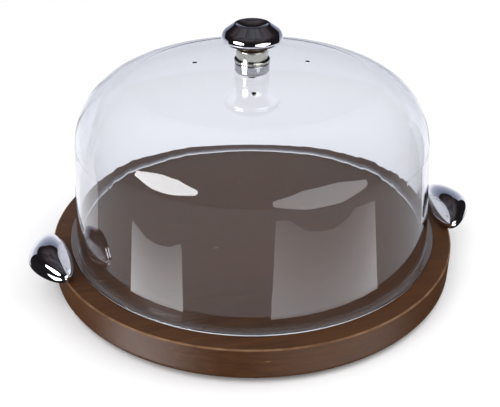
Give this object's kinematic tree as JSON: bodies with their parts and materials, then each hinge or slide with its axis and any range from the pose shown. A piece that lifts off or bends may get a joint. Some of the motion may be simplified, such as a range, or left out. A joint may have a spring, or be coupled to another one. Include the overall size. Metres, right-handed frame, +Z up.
{
  "type": "cheese dome",
  "caption": "Round dark wooden serving board with half-moon metal lug handles and a tall clear straight-sided lift-off dome with a mushroom knob.",
  "frame": {"origin": "centre of the board's footprint on the table, under the feet", "axes": "+Z up along the board's and dome's common axis, +X towards the right handle's side, -Y towards the side that the handles sit forward of"},
  "size_m": [0.3894, 0.35, 0.2162],
  "materials": {
    "dark_wood": "satin dark brown stain, fine straight grain",
    "foot_rubber": "matt",
    "chrome": "mirror polished",
    "screw_steel": "plain zinc plated",
    "clear_plastic": "clear moulded acrylic, gloss, faint lavender tint",
    "soft_washer": "translucent soft plastic"
  },
  "bodies": {
    "board": {"board": "dark_wood", "rubber_feet": "foot_rubber", "handle_left": "chrome", "handle_right": "chrome", "handle_screws": "screw_steel"},
    "cover": {"dome": "clear_plastic", "knob_gasket": "soft_washer", "knob_collar": "chrome", "knob_neck": "chrome", "knob_head": "chrome", "knob_washer": "screw_steel", "knob_screw": "screw_steel"}
  },
  "joints": [
    {"name": "dome_lift", "type": "slide", "parent": "board", "child": "cover", "axis": [0, 0, 1], "range_m": [0, 0.2]}
  ]
}
